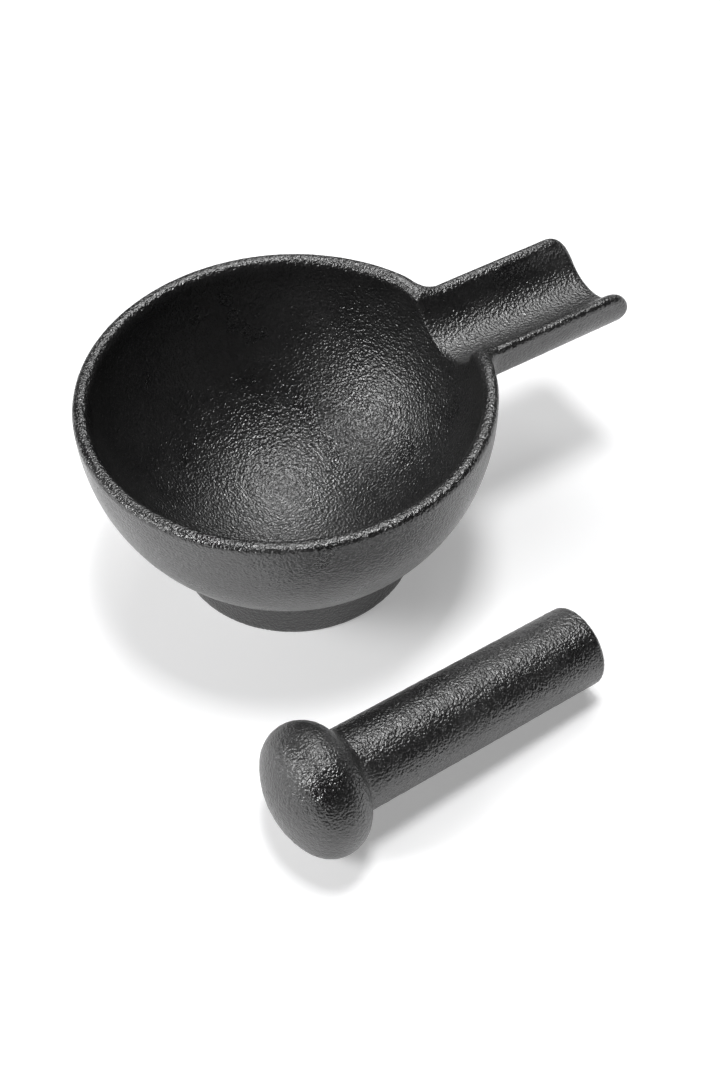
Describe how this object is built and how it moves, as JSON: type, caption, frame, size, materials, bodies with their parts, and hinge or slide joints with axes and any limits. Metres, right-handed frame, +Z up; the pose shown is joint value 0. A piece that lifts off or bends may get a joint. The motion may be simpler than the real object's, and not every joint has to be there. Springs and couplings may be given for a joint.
{
  "type": "mortar and pestle",
  "caption": "Round cast-iron mortar on a ring foot, with a round-bottomed pouring channel as its handle, and a pestle with a domed head.",
  "frame": {"origin": "centre of the mortar's foot ring, in the plane it stands on", "axes": "+Z up along the bowl's axis, +X out along the pouring channel; the pestle lies on the -Y side"},
  "size_m": [0.1842, 0.1845, 0.071],
  "materials": {
    "mortar_iron": "black oiled sand casting, fine orange-peel grain, half matt",
    "pestle_iron": "black oiled sand casting, fine orange-peel grain, half matt"
  },
  "bodies": {
    "mortar": {"bowl": "mortar_iron", "foot_ring": "mortar_iron", "pouring_channel": "mortar_iron"},
    "pestle": {"pestle_head": "pestle_iron", "pestle_shaft": "pestle_iron"}
  },
  "joints": [
    {"name": "pestle_lift", "type": "slide", "parent": "mortar", "child": "pestle", "axis": [0, 0, 1], "range_m": [0, 0.1]}
  ]
}
